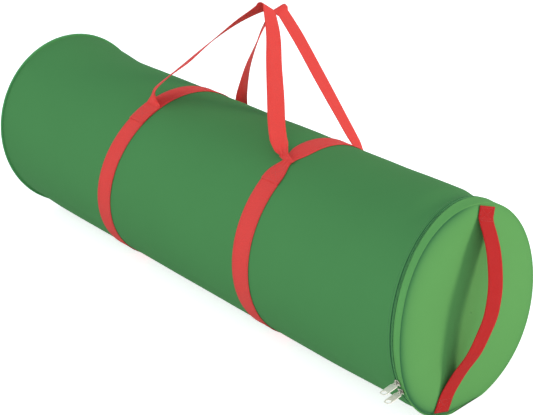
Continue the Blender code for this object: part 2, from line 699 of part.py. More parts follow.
def pull_matrix(angle):
    """Matrix of a pull: origin on its bar, X along the bar, Z along the pull, which points to the front."""
    place = slider_frame(angle) @ Vector((0, 0, BAR_RADIUS))
    across = ZIP_FRAME.to_3x3() @ Vector((1, 0, 0))
    out = ZIP_FRAME.to_3x3() @ Vector((0, -1, 0))
    face = out.cross(across).normalized()
    turn = Matrix((across, face, across.cross(face))).transposed()
    return Matrix.Translation(place) @ turn.to_4x4()


def make_pull(name, angle, slots):
    """Pull: a flat tongue with a window that goes round the slider's bridge and a round eye at its end."""
    tools = bmesh.new()
    half, neck, thick = PULL_WIDTH / 2, PULL_NECK_WIDTH / 2, PULL_THICKNESS / 2
    bar = PULL_BAR / 2
    tip = PULL_LENGTH - half
    outline = [(-neck, -bar), (neck, -bar), (neck, PULL_WINDOW_LENGTH), (half, PULL_WINDOW_LENGTH + PULL_BAR)]
    for n in range(PULL_EYE_SIDES // 2 + 1):
        turn = 2 * math.pi * n / PULL_EYE_SIDES
        outline.append((half * math.cos(turn), tip + half * math.sin(turn)))
    outline += [(-half, PULL_WINDOW_LENGTH + PULL_BAR), (-neck, PULL_WINDOW_LENGTH)]
    face = tools.faces.new([tools.verts.new((x, -thick, z)) for x, z in outline])
    raised = bmesh.ops.extrude_face_region(tools, geom=[face])["geom"]
    for vert in [item for item in raised if isinstance(item, bmesh.types.BMVert)]:
        vert.co.y = thick
    pull = finish_mesh(name, tools, slots["metal"])
    window = box_piece(f"{name}_window", (-PULL_WINDOW_WIDTH / 2, -2 * thick, bar),
                       (PULL_WINDOW_WIDTH / 2, 2 * thick, PULL_WINDOW_LENGTH), slots["metal"])
    bpy.ops.mesh.primitive_cylinder_add(vertices=PULL_EYE_SIDES, radius=PULL_EYE_RADIUS,
                                        depth=4 * thick, location=(0, 0, tip),
                                        rotation=(math.pi / 2, 0, 0))
    eye = bpy.context.object
    eye.name = f"{name}_eye"
    matrix = pull_matrix(angle)
    axis = bpy.data.objects.new(f"{name}_axis", None)
    bpy.context.collection.objects.link(axis)
    axis.matrix_world = matrix
    for piece in (pull, window, eye):
        piece.parent = axis
    for cutter in (window, eye):
        cutter.hide_render = True
        cutter.display_type = "WIRE"
        cut = pull.modifiers.new(cutter.name, "BOOLEAN")
        cut.operation = "DIFFERENCE"
        cut.solver = "EXACT"
        cut.object = cutter


def make_all():
    clear_scene()
    slots = {
        "body": material("body_cloth", BODY_GREEN, 0.8),
        "lid": material("lid_cloth", LID_GREEN, 0.75),
        "trim": material("trim_cloth", DARK_GREEN, 0.8),
        "tape": material("zip_tape", DARK_GREEN, 0.9),
        "teeth": material("zip_teeth", LID_GREEN, 0.4),
        "webbing": material("webbing", WEB_RED, 0.7),
        "metal": material("metal", SILVER, 0.25, 1.0),
    }
    make_tube(slots)
    make_seam_binding(slots)
    make_far_end(slots)
    make_bands(slots)
    make_mouth(slots)
    ring_sheet("zip_tape_body", ZIP_FRAME, TAPE_OUTSIDE, TAPE_INSIDE,
               (-CHAIN_SPLIT, -TAPE_WIDTH_BODY), slots["tape"], chain_ends())
    make_zip_side("body", -1, slots)
    make_lid(slots)
    make_handles(slots)
    for place, angle, facing in (("upper", SLIDER_ANGLE_UPPER, -1), ("lower", SLIDER_ANGLE_LOWER, 1)):
        make_slider(f"zip_slider_{place}", angle, facing, slots)
        make_pull(f"zip_pull_{place}", angle, slots)


make_all()
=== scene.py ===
"""Looks of the round zipped bag for rolls of gift wrap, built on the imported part.

Angles around the bag are in degrees from the front (-Y), and 90 is the top. All sizes are in
metres. Every cloth piece is a grid of points whose UV map is in metres, so that weave and seams
have their real scale.
"""
import math

import bmesh
import bpy
import numpy as np
from mathutils import Matrix, Vector


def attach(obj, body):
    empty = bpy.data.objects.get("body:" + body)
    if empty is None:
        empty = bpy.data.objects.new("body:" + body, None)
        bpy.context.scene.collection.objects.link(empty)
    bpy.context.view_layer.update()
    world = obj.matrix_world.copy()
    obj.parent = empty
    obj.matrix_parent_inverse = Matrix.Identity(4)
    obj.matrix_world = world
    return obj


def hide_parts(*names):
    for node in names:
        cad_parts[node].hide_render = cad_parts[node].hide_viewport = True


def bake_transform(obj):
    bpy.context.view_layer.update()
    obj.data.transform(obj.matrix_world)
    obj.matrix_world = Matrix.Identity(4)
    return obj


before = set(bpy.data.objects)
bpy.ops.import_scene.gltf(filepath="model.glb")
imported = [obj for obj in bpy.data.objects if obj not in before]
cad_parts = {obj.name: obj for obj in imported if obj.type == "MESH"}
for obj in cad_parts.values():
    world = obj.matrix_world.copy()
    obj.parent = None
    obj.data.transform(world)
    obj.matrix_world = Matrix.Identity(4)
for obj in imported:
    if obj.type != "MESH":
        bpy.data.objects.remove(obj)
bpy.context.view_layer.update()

# Sizes of the part, in metres and degrees, as in its source
TUBE_LENGTH, TUBE_RADIUS, FLOOR_SAG, CLOTH, GAP = 1.028, 0.168, 0.004, 0.0012, 0.0003
FAR_RADIUS, FAR_RISE, FAR_LEAN, FAR_FLARE, FAR_CROWN = 0.1725, 0.0105, 5.5, 0.12, 0.009
PIPING_RADIUS = 0.0025
ZIP_X, ZIP_LEAN, ZIP_YAW, LEAN_REACH, FLOOR_CLEARANCE = 0.4933, 7.49, 4.35, 0.2, 0.0005
LID_X, LID_CROWN, LID_SEAT = 0.512, 0.005, 0.0047
RIM_WAVES = ((-0.01927, 0.00155), (0.00076, 0.00427), (-0.00109, 0.00183))
TAPE, TAPE_WIDTH, CHAIN_HEIGHT, CHAIN_SPLIT, STOP_LENGTH = 0.0006, 0.013, 0.002, 0.0006, 0.004
HINGE_ANGLE, HINGE_HALF = 162, 12
FACING, FACING_WIDTH, FACING_SETBACK = 0.0008, 0.017, 0.005
SEAM_ANGLE, SEAM_WIDTH = -126, 0.02
WEB_WIDTH, WEB, LAP_LENGTH = 0.038, 0.0014, 0.046
BAND_PLACES = {"left": -0.1790, "right": 0.1860}
BAND_DRIFTS = {"left": 0.021, "right": -0.004}
JOINT_ANGLES = {"front": 69.5, "rear": 156}
APEX_PLACES = {"front": (0.0141, 0.0572, 0.358), "rear": (0.0066, 0.0885, 0.3479)}
FOLD_REACH = 0.010
LEG_BOWS = {
    "front_left": ((0.08, (-0.045, -0.027, 0.028)), (0.2, (-0.048, -0.022, 0.039)),
                   (0.4, (-0.042, -0.021, 0.032)), (0.6, (-0.038, -0.015, 0.034)),
                   (0.8, (-0.025, -0.006, 0.027))),
    "front_right": ((0.08, (-0.017, -0.022, -0.005)), (0.2, (-0.023, -0.028, -0.005)),
                    (0.4, (-0.014, -0.017, -0.002)), (0.6, (-0.006, -0.007, -0.001)),
                    (0.8, (0.004, 0.006, 0.003))),
    "rear_left": ((0.08, (-0.012, -0.010, 0.004)), (0.2, (-0.026, -0.023, 0.006)),
                  (0.4, (-0.038, -0.030, 0.014)), (0.6, (-0.038, -0.027, 0.018)),
                  (0.8, (-0.029, -0.017, 0.018))),
    "rear_right": ((0.08, (-0.002, -0.001, 0.005)), (0.2, (-0.003, -0.008, -0.006)),
                   (0.4, (-0.002, -0.005, -0.004)), (0.6, (-0.002, -0.001, 0.001)),
                   (0.8, (-0.002, 0.003, 0.007))),
}
LEG_TURNS = {
    "front_left": ((0, 0), (0.04, -21), (0.09, -40), (0.15, -43), (0.22, -47), (0.3, -45), (0.4, -42),
                   (0.5, -45), (0.6, -49), (0.7, -53), (0.8, -59), (0.9, -65), (1, -81)),
    "front_right": ((0, -180), (0.035, -146), (0.08, -114), (0.13, -102), (0.2, -101), (0.4, -100),
                    (0.6, -96), (0.8, -92), (1, -83)),
    "rear_left": ((0, 180), (0.06, 177), (0.14, 171), (0.27, 156), (0.4, 144), (0.55, 130), (0.67, 123),
                  (0.8, 112), (1, 93)),
    "rear_right": ((0, 180), (0.06, 168), (0.125, 144), (0.2, 122), (0.4, 115), (0.6, 112), (0.8, 113),
                   (1, 118)),
}
LEG_WIDTHS = {
    "front_left": ((0, 1), (0.05, 0.7), (0.12, 1), (1, 1)),
    "front_right": ((0, 1), (0.035, 0.45), (0.08, 0.7), (0.13, 1), (1, 1)),
    "rear_left": ((0, 1), (1, 1)),
    "rear_right": ((0, 1), (1, 1)),
}
LEG_ROOT = 0.08
STRAP_TURN, STRAP_OFFSET, STRAP_TOP, STRAP_BOTTOM = 21.4, 0.0091, 0.162, 0.1592
STRAP_BOW, STRAP_LEAN = 0.04, 8.6
STRAP_BOWS = (
    (0, 0), (0.05, 0), (0.08, 0.1), (0.124, 0.31), (0.19, 0.57), (0.271, 0.79), (0.36, 0.95), (0.44, 1),
    (0.5, 0.985), (0.568, 0.88), (0.679, 0.66), (0.782, 0.3), (0.875, 0.07), (0.93, 0), (1, 0),
)

AXIS_HEIGHT = TUBE_RADIUS - FLOOR_SAG
MOUTH_RADIUS = TUBE_RADIUS - CHAIN_HEIGHT + CLOTH
TAPE_OUTSIDE = MOUTH_RADIUS - CLOTH - GAP
CHAIN_INSIDE = TAPE_OUTSIDE + GAP
CHAIN_OUTSIDE = CHAIN_INSIDE + CHAIN_HEIGHT
FACING_OUTSIDE = TAPE_OUTSIDE - TAPE - GAP
MOUTH_HEIGHT = CHAIN_OUTSIDE * math.cos(math.radians(ZIP_LEAN)) + FLOOR_CLEARANCE
FAR_X = -TUBE_LENGTH / 2
BAND_OUTSIDE = TUBE_RADIUS + GAP + WEB
LAP_OUTSIDE = BAND_OUTSIDE + GAP + WEB
JOINT_RADIUS = LAP_OUTSIDE + GAP + WEB / 2
STRAP_SEAT = WEB / 2 + 3 * GAP

# Sizes of the looks alone
AROUND = 144
HEM = ((0.1676, 0.0043), (0.1679, 0.0036), (0.1677, 0.0030), (0.1671, 0.0028), (0.1663, 0.0030))
# Share of painted shade on each hem row beside the zip, on the bag's side and on the lid's, darkest at the
# zip's recess
HEM_SHADE = (0.0, 0.1, 0.4, 0.9, 1.0)
LID_HEM_SHADE = (1.0, 0.6, 0.1, 0.0, 0.0)
HEM_STITCH_RADIUS, HEM_STITCH_SETBACK = 0.1673, 0.0078
FAR_EDGE = ((0.0016, 0.003), (0.0024, 0.0019), (0.0034, 0.0009), (0.0048, 0.0002))
LIFT_MARGIN, LIFT_FADE = 0.002, 0.012
BILLOW_HEIGHT, BILLOW_LENGTH = 0.0007, 0.17
RIDGE_HEIGHT, RIDGE_HALF, RIDGE_FADE = 0.0006, 0.0045, 0.002
RIM_SEAM_INSET, RIM_SEAM_DEPTH = 0.0031, 0.0025
BAND_STITCH, LAP_STITCH, STRAP_STITCH = 0.0162, 0.0155, 0.0158
GATHER_HEIGHT = 0.0016
FOLD_STEPS, STRAP_STEPS = 8, 96
COIL_TURNS, COIL_STEPS, COIL_THREAD = 500, 9, 0.00034
COIL_MIDDLE, COIL_REACH, COIL_RISE = 0.00115, 0.00095, 0.00062
HINGE_REACH = 0.0034
# Bevel of the metal edges, and the reach of the painted shade in the sliders' corners
EDGE_BEVEL, CORNER_SHADE_REACH = 0.00022, 0.0022

# Camera, floor and light
CAMERA_PLACE = (1.3481, -1.2072, 1.0619)
CAMERA_AXES = ((0.6866, 0.7270, 0), (-0.3265, 0.3084, 0.8935), (0.6495, -0.6135, 0.4491))
CAMERA_LENS, CAMERA_SENSOR, CAMERA_FAR = 75.43, 36, 30
FLOOR_HALF, FLOOR_DROP, FLOOR_GREY, FLOOR_GLOW = 6, 0.0002, 0.86, 0.68
LIGHT_TARGET = (0.2, 0, 0.16)
FILL_STRENGTH, FILL_COLOUR = 0.5, (0.82, 1, 1.10, 1)


def make_camera():
    """Camera of the photograph: its axes are the rows right, up and backward."""
    data = bpy.data.cameras.new("camera")
    camera = bpy.data.objects.new("camera", data)
    bpy.context.scene.collection.objects.link(camera)
    data.sensor_width = CAMERA_SENSOR
    data.lens = CAMERA_LENS
    data.clip_end = CAMERA_FAR
    axes = Matrix(CAMERA_AXES)
    camera.matrix_world = Matrix.Translation(CAMERA_PLACE) @ axes.transposed().to_4x4()
    bpy.context.scene.camera = camera


make_camera()


def ease(share):
    """Smooth step from 0 to 1."""
    share = min(max(share, 0), 1)
    return share * share * (3 - 2 * share)


def bump(value, centre, width):
    """Smooth hump of height 1 round a centre."""
    return math.exp(-((value - centre) / width) ** 2)


def glide(table, share):
    """Value at a share of the way, on a smooth curve through a table of (share, value)."""
    slopes = []
    for n in range(len(table)):
        before, after = table[max(n - 1, 0)], table[min(n + 1, len(table) - 1)]
        slopes.append((after[1] - before[1]) / (after[0] - before[0]))
    for n in range(len(table) - 1):
        (start, low), (end, high) = table[n], table[n + 1]
        if share <= end or n == len(table) - 2:
            span = end - start
            t = min(max((share - start) / span, 0), 1)
            rise = (2 * t**3 - 3 * t**2 + 1) * low + (3 * t**2 - 2 * t**3) * high
            return rise + span * ((t**3 - 2 * t**2 + t) * slopes[n] + (t**3 - t**2) * slopes[n + 1])


def ring_frame(centre, lean, yaw=0.0):
    turned = Matrix.Rotation(math.radians(yaw), 4, "Z") @ Matrix.Rotation(-math.radians(lean), 4, "Y")
    return Matrix.Translation(centre) @ turned


def around(ring, radius, angle, along=0.0):
    turn = math.radians(angle)
    return ring @ Vector((along, -radius * math.cos(turn), radius * math.sin(turn)))


ZIP_RING = ring_frame((ZIP_X, 0, MOUTH_HEIGHT), ZIP_LEAN, ZIP_YAW)
FAR_RING = ring_frame((FAR_X, 0, AXIS_HEIGHT + FAR_RISE), FAR_LEAN)


def band_centre(side, angle):
    return BAND_PLACES[side] + BAND_DRIFTS[side] * math.cos(math.radians(angle - 100))


def tube_point(x, angle, outward=0.0, lowest=0.0):
    """Point of the tube's outer surface, or one that lies outward of it by a distance."""
    far = 1 - ease((x - FAR_X) / FAR_FLARE)
    near = 1 - ease((ZIP_X - x) / LEAN_REACH)
    radius = TUBE_RADIUS + (FAR_RADIUS - TUBE_RADIUS) * far + outward
    height = AXIS_HEIGHT + FAR_RISE * far + (MOUTH_HEIGHT - AXIS_HEIGHT) * near
    lean = FAR_LEAN * far + ZIP_LEAN * near
    point = around(ring_frame((x, 0, height), lean, ZIP_YAW * near), radius, angle)
    point.z = max(point.z, lowest)
    return point


def lid_point(angle, share, along, inset=0.0):
    """Point of the lid's wavy face at a share of its radius, less an inset, moved along X."""
    turn = math.radians(angle)
    x = LID_X + along
    for n, (sine, cosine) in enumerate(RIM_WAVES, 1):
        x += share**n * (sine * math.sin(n * turn) + cosine * math.cos(n * turn))
    radius = TUBE_RADIUS * share - inset
    height = AXIS_HEIGHT + radius * math.sin(turn)
    return Vector((x, -radius * math.cos(turn), max(height, inset + FLOOR_CLEARANCE)))


def waves(u, v, size, seed):
    """Soft folds of cloth: a sum of a few sine waves of unlike directions, from about -1 to 1."""
    total = 0.0
    for n in range(5):
        turn = seed * 1.7 + n * 2.4
        pace = (1 + 0.37 * n) / size
        place = u * math.cos(turn) + v * math.sin(turn)
        total += math.sin(place * pace * 6.28 + seed * 3.1 + n) / (1 + 0.5 * n)
    return total / 3


# Meshes


def add_piece(name, verts, faces, finish, corners=None, seam_shades=None):
    """Object from points and faces, with a UV pair in metres for each face corner.

    The last argument gives each point the share of painted shade that darkens its cloth colour there, in
    seams and beside the zip.
    """
    mesh = bpy.data.meshes.new(name)
    mesh.from_pydata([tuple(vert) for vert in verts], [], faces)
    if corners:
        layer = mesh.uv_layers.new(name="UVMap")
        layer.data.foreach_set("uv", [value for pair in corners for value in pair])
    if seam_shades:
        mesh.attributes.new("seam_shade", "FLOAT", "POINT").data.foreach_set("value", seam_shades)
    tools = bmesh.new()
    tools.from_mesh(mesh)
    bmesh.ops.recalc_face_normals(tools, faces=tools.faces)
    tools.to_mesh(mesh)
    tools.free()
    mesh.shade_smooth()
    mesh.materials.append(finish)
    piece = bpy.data.objects.new(name, mesh)
    bpy.context.scene.collection.objects.link(piece)
    return piece


def grid(name, rows, finish, uv, round_row=False, round_col=False, caps=False, seam_shade=None):
    """Piece from a grid of points. A round row closes on itself; a round column joins last row to first."""
    count, width = len(rows), len(rows[0])
    verts = [point for row in rows for point in row]
    faces, corners = [], []
    for r in range(count if round_col else count - 1):
        s = (r + 1) % count
        for c in range(width if round_row else width - 1):
            d = (c + 1) % width
            faces.append((r * width + c, r * width + d, s * width + d, s * width + c))
            for m, n in ((r, c), (r, c + 1), (r + 1, c + 1), (r + 1, c)):
                corners.append(uv(m, n))
    if caps:
        for r in (0, count - 1):
            faces.append(tuple(r * width + c for c in range(width)))
            corners += [uv(r, c) for c in range(width)]
    # Share of painted shade at each point, which the cloth's material uses to darken its colour
    seam_shades = [seam_shade(r, c) for r in range(count) for c in range(width)] if seam_shade else None
    return add_piece(name, verts, faces, finish, corners, seam_shades)


def shell(name, outer, inner, finish, uv, closed=True):
    """Cloth with two faces: a grid of outer points and one of inner points, joined at their edges."""
    rows = outer + inner[::-1]
    if closed:
        return grid(name, rows, finish, uv, round_row=True, round_col=True)
    loops = []
    for front, back in zip(outer, inner):
        loops.append(list(front) + list(back)[::-1])
    return grid(name, loops, finish, uv, round_row=True, caps=True)


def spaced(start, end, count):
    return [start + (end - start) * n / count for n in range(count + 1)]


def smooth_rows(keys, steps):
    """Rows on a smooth curve through some key rows, with steps between each two."""
    rows = []
    for n in range(len(keys) - 1):
        before, after = keys[max(n - 1, 0)], keys[min(n + 2, len(keys) - 1)]
        for k in range(steps):
            t = k / steps
            row = []
            for p, a, b, q in zip(before, keys[n], keys[n + 1], after):
                row.append(((2 * t**3 - 3 * t**2 + 1) * a + (3 * t**2 - 2 * t**3) * b
                            + (t**3 - 2 * t**2 + t) * (b - p) / 2 + (t**3 - t**2) * (q - a) / 2))
            rows.append(row)
    rows.append(keys[-1])
    return rows


def keep_above(rows, lowest):
    """Lift the points of some rows that lie under a height up to it."""
    for row in rows:
        for point in row:
            point.z = max(point.z, lowest)


def web_profile(width, thick, columns=12):
    """Cross section of webbing with rounded edges, as (across, out) pairs that go all the way round."""
    half, rise = width / 2, thick / 2
    top = []
    for n in range(columns + 1):
        x = -1 + 2 * n / columns
        top.append((x * (half - 0.2 * rise), rise * (1 - 0.5 * abs(x) ** 16)))
    bottom = [(x, -y) for x, y in reversed(top)]
    return top + [(half, 0)] + bottom + [(-half, 0)]


def webbing(name, steps, at, finish, closed=False, thick=WEB):
    """Webbing along a list of steps. at(step, across, out) gives a point of it."""
    profile = web_profile(WEB_WIDTH, thick)
    rows = [[at(step, x, y) for x, y in profile] for step in steps]
    middles = [at(step, 0, 0) for step in steps] + ([at(steps[0], 0, 0)] if closed else [])
    along = [0.0]
    for a, b in zip(middles, middles[1:]):
        along.append(along[-1] + (b - a).length)
    across = [x for x, y in profile] + [profile[0][0]]
    return grid(name, rows, finish, lambda r, c: (across[c], along[r]),
                round_row=True, round_col=closed, caps=not closed)


def sew(name, lines, finish, pitch=0.0042, length=0.0031, thick=0.00032):
    """Row of stitches along each line of (point, outward normal) pairs, as small rounded threads."""
    sides = 6
    template, template_faces = [], []
    for along, size, sink in ((-1, 0.45, 0.9), (-0.62, 1, 0.1), (0.62, 1, 0.1), (1, 0.45, 0.9)):
        for n in range(sides):
            turn = 2 * math.pi * n / sides
            template.append((along * length / 2, size * thick * math.cos(turn),
                             thick * (size * 0.8 * math.sin(turn) + 0.55 - sink)))
    for r in range(3):
        for c in range(sides):
            d = (c + 1) % sides
            template_faces.append((r * sides + c, r * sides + d, (r + 1) * sides + d, (r + 1) * sides + c))
    template_faces += [tuple(range(sides)), tuple(range(3 * sides, 4 * sides))]
    shape = np.array(template)
    verts, faces, corners = [], [], []
    for line in lines:
        points = np.array([tuple(point) for point, normal in line])
        normals = np.array([tuple(normal) for point, normal in line])
        reach = np.concatenate(([0], np.cumsum(np.linalg.norm(np.diff(points, axis=0), axis=1))))
        count = max(int(reach[-1] / pitch), 1)
        for k in range(count):
            place = (k + 0.5) * reach[-1] / count
            spots = [np.array([np.interp(place + shift, reach, points[:, i]) for i in range(3)])
                     for shift in (-length / 2, 0, length / 2)]
            out = np.array([np.interp(place, reach, normals[:, i]) for i in range(3)])
            forward = spots[2] - spots[0]
            forward /= np.linalg.norm(forward)
            out -= forward * np.dot(out, forward)
            out /= np.linalg.norm(out)
            side = np.cross(out, forward)
            base = len(verts)
            verts += list(spots[1] + shape @ np.array([forward, side, out]))
            faces += [tuple(base + i for i in face) for face in template_faces]
    for face in faces:
        corners += [(verts[i][0] + verts[i][1], verts[i][2] + verts[i][1]) for i in face]
    return add_piece(name, verts, faces, finish, corners)


def web_line(at, places, out):
    """Line for sew on webbing, through a list of (step, across) places."""
    line = []
    for step, x in places:
        point = at(step, x, out)
        line.append((point, at(step, x, out + 0.001) - point))
    return line


def straight(places, count=14):
    """Places on straight stretches between some corner places."""
    out = []
    for (a, x), (b, y) in zip(places, places[1:]):
        out += [(a + (b - a) * n / count, x + (y - x) * n / count) for n in range(count)]
    return out + [places[-1]]


def sewn_box(near, far, wide):
    """A stitched box and the two strokes of the cross in it, each as a list of places."""
    box = [(near, -wide), (near, wide), (far, wide), (far, -wide), (near, -wide)]
    return box, [(near, -wide), (far, wide)], [(near, wide), (far, -wide)]


# Materials


class Nodes:
    """Material with one Principled shader, and short ways to add nodes to it."""

    def __init__(self, name):
        self.material = bpy.data.materials.new(name)
        self.material.use_nodes = True
        self.tree = self.material.node_tree
        self.shader = self.tree.nodes["Principled BSDF"]

    def put(self, socket, value):
        if isinstance(value, bpy.types.NodeSocket):
            self.tree.links.new(value, socket)
        else:
            socket.default_value = value

    def add(self, kind, **inputs):
        node = self.tree.nodes.new(kind)
        for name, value in inputs.items():
            self.put(node.inputs[name.replace("_", " ")], value)
        return node

    def calc(self, operation, a, b=0.0, c=0.0):
        node = self.tree.nodes.new("ShaderNodeMath")
        node.operation = operation
        for socket, value in zip(node.inputs, (a, b, c)):
            self.put(socket, value)
        return node.outputs[0]

    def uv(self):
        split = self.add("ShaderNodeSeparateXYZ", Vector=self.tree.nodes.new("ShaderNodeUVMap").outputs[0])
        return split.outputs[0], split.outputs[1]

    def place(self):
        return self.tree.nodes.new("ShaderNodeTexCoord").outputs["Object"]

    def noise(self, vector, scale, detail=2.0, rough=0.5):
        node = self.add("ShaderNodeTexNoise", Vector=vector, Scale=scale, Detail=detail, Roughness=rough)
        return node.outputs[0]

    def weave(self, pitch_u, pitch_v):
        """Height of a plain weave from 0 to 1, with a pitch in metres each way."""
        u, v = self.uv()
        across = self.calc("SINE", self.calc("MULTIPLY", u, math.pi / pitch_u))
        along = self.calc("SINE", self.calc("MULTIPLY", v, math.pi / pitch_v))
        return self.calc("MULTIPLY_ADD", self.calc("MULTIPLY", across, along), 0.5, 0.5)

    def bump(self, height, distance):
        node = self.add("ShaderNodeBump", Height=height)
        node.inputs["Distance"].default_value = distance
        self.tree.links.new(node.outputs[0], self.shader.inputs["Normal"])

    def colour(self, amount, low, high, seam_shade_colour=None):
        """Base colour that goes from low to high with an amount, and to a dark colour where painted seam
        shade lies.
        """
        ramp = self.tree.nodes.new("ShaderNodeValToRGB")
        ramp.color_ramp.elements[0].color = (*low, 1)
        ramp.color_ramp.elements[1].color = (*high, 1)
        self.put(ramp.inputs[0], amount)
        result = ramp.outputs[0]
        if seam_shade_colour:
            # Painted shade: the point attribute blends the colour to a dark one in seams and beside the zip
            seam_shade = self.tree.nodes.new("ShaderNodeAttribute")
            seam_shade.attribute_name = "seam_shade"
            mix = self.tree.nodes.new("ShaderNodeMixRGB")
            self.put(mix.inputs[0], seam_shade.outputs["Fac"])
            self.put(mix.inputs[1], result)
            mix.inputs[2].default_value = (*seam_shade_colour, 1)
            result = mix.outputs[0]
        self.tree.links.new(result, self.shader.inputs["Base Color"])

    def finish(self, roughness, metallic=0.0, sheen=0.0, specular=0.5):
        self.shader.inputs["Roughness"].default_value = roughness
        self.shader.inputs["Metallic"].default_value = metallic
        self.shader.inputs["Sheen Weight"].default_value = sheen
        self.shader.inputs["Specular IOR Level"].default_value = specular
        return self.material


def shades(colour, spread):
    low = tuple(channel * (1 - spread) for channel in colour)
    return low, tuple(min(channel * (1 + spread), 1) for channel in colour)


def cloth(name, colour, pitch, depth, spread=0.06, roughness=0.85, seam_shade_colour=None):
    """Woven cloth: fine plain weave, slight slubs in the yarn, and a slow drift of shade."""
    made = Nodes(name)
    height = made.weave(pitch, pitch)
    slubs = made.noise(made.place(), 900, 2)
    height = made.calc("MULTIPLY_ADD", slubs, 0.35, height)
    drift = made.noise(made.place(), 7, 3)
    amount = made.calc("ADD", made.calc("MULTIPLY", height, 0.3), made.calc("MULTIPLY", drift, 0.6))
    # The seam shade colour, when given, is painted shade laid in by the point attribute
    made.colour(amount, *shades(colour, spread), seam_shade_colour)
    made.bump(height, depth)
    return made.finish(roughness, specular=0.08)


def webbing_finish(name, colour):
    """Webbing: cords along it that pass over and under, and a denser edge."""
    made = Nodes(name)
    height = made.weave(0.0012, 0.0017)
    across = made.uv()[0]
    inward = made.calc("SUBTRACT", WEB_WIDTH / 2, made.calc("ABSOLUTE", across))
    edge = made.calc("SMOOTH_MIN", made.calc("MULTIPLY", inward, 600), 1.0, 0.2)
    fuzz = made.noise(made.place(), 1400, 2)
    height = made.calc("MULTIPLY_ADD", fuzz, 0.4, height)
    drift = made.noise(made.place(), 420, 3, 0.7)
    amount = made.calc("ADD", made.calc("MULTIPLY", height, 0.28), made.calc("MULTIPLY", drift, 0.7))
    amount = made.calc("MULTIPLY_ADD", edge, 0.12, made.calc("SUBTRACT", amount, 0.12))
    made.colour(amount, *shades(colour, 0.2))
    made.bump(height, 0.00016)
    made.shader.inputs["Subsurface Weight"].default_value = 0.5
    made.shader.inputs["Subsurface Radius"].default_value = (1.0, 0.2, 0.18)
    made.shader.inputs["Subsurface Scale"].default_value = 0.0016
    return made.finish(0.8, specular=0.08)


def thread(name, colour):
    made = Nodes(name)
    twist = made.noise(made.place(), 2500, 1)
    made.colour(twist, *shades(colour, 0.15))
    made.bump(twist, 0.00005)
    return made.finish(0.6, sheen=0.05)


def metal(name, low, high, corner_shade):
    """Bright plated metal with faint scratches, slightly duller patches, and painted shade that darkens its
    corners.
    """
    made = Nodes(name)
    stretch = made.add("ShaderNodeMapping", Vector=made.place(), Scale=(300, 2500, 300))
    scratches = made.noise(stretch.outputs[0], 1, 3)
    patches = made.noise(made.place(), 160, 2)
    amount = made.calc("MULTIPLY_ADD", scratches, 0.5, made.calc("MULTIPLY", patches, 0.5))
    made.colour(amount, low, high)
    if corner_shade:
        # Painted shade: the colour goes to dark brown where other surfaces lie near, in corners and gaps
        near = made.tree.nodes.new("ShaderNodeAmbientOcclusion")
        near.samples = 8
        near.inputs["Distance"].default_value = CORNER_SHADE_REACH
        mix = made.tree.nodes.new("ShaderNodeMixRGB")
        made.put(mix.inputs[0], made.calc("MULTIPLY", made.calc("SUBTRACT", 1.0, near.outputs["AO"]), corner_shade))
        made.put(mix.inputs[1], made.shader.inputs["Base Color"].links[0].from_socket)
        mix.inputs[2].default_value = (0.06, 0.045, 0.03, 1)
        made.put(made.shader.inputs["Base Color"], mix.outputs[0])
    made.bump(scratches, 0.00002)
    made.finish(0.2, 0.25)
    made.put(made.shader.inputs["Roughness"], made.calc("MULTIPLY_ADD", amount, 0.2, 0.3))
    return made.material


def teeth(name, colour):
    made = Nodes(name)
    wear = made.noise(made.place(), 500, 2)
    made.colour(wear, *shades(colour, 0.12))
    made.bump(wear, 0.00003)
    return made.finish(0.6, specular=0.15)


# The last colour of the bag's and the lid's cloth is painted shade, a dark blue-green for seams and beside
# the zip
BODY = cloth("bag_cloth_weave", (0.074, 0.247, 0.079), 0.0007, 0.00009, seam_shade_colour=(0.02, 0.10, 0.06))
LID = cloth("lid_cloth_weave", (0.1205, 0.352, 0.102), 0.0007, 0.00009, seam_shade_colour=(0.028, 0.14, 0.06))
TRIM = cloth("binding_tape_weave", (0.05, 0.19, 0.075), 0.0006, 0.00008, 0.1)
TAPE_FINISH = cloth("zip_tape_weave", (0.026, 0.11, 0.062), 0.0005, 0.00008, 0.1)
# The piping's green is lighter than the bag's, a painted highlight along the far end's rim
PIPING_WITH_PAINTED_HIGHLIGHT = cloth("piping_cover_painted_highlight_weave", (0.085, 0.32, 0.105), 0.0006, 0.00008)
RED = webbing_finish("red_webbing_weave", (0.76, 0.070, 0.062))
STRAP_RED = webbing_finish("grab_strap_weave", (0.45, 0.020, 0.020))
RED_THREAD = thread("red_thread", (0.60, 0.05, 0.045))
STRAP_THREAD = thread("strap_thread", (0.45, 0.022, 0.022))
GREEN_THREAD = thread("green_thread", (0.07, 0.25, 0.09))
STEEL = metal("plated_metal", (0.90, 0.82, 0.73), (1.0, 0.94, 0.86), 0)
# The sliders get painted shade, dark brown, in their corners and gaps
SLIDER_STEEL = metal("slider_metal", (0.62, 0.57, 0.49), (0.88, 0.82, 0.74), 2.8)
# The coil's green is lighter than the bag's own, painted light that lifts the shade of the zip's recess
COIL_LIGHTENED = teeth("zip_coil_lightened_plastic", (0.15, 0.46, 0.16))


# The bag


def floor_lift(x):
    """Height by which a band that passes under the tube lifts its cloth."""
    lift = 0.0
    for side in BAND_PLACES:
        past = abs(x - band_centre(side, -90)) - WEB_WIDTH / 2 - LIFT_MARGIN
        lift = max(lift, (WEB + GAP) * (1 - ease(past / LIFT_FADE)))
    return lift


def billow(x, angle):
    """Soft waves of the bag's cloth, which die out at its bands, ends and floor."""
    up = math.sin(math.radians(angle))
    free = ease((x - FAR_X - 0.01) / 0.08) * ease((ZIP_X - 0.03 - x) / 0.08) * ease((up + 0.85) / 0.3)
    for side in BAND_PLACES:
        free *= 1 - bump(x, band_centre(side, angle), 0.032)
    return BILLOW_HEIGHT * free * waves(x, TUBE_RADIUS * up, BILLOW_LENGTH, 2)


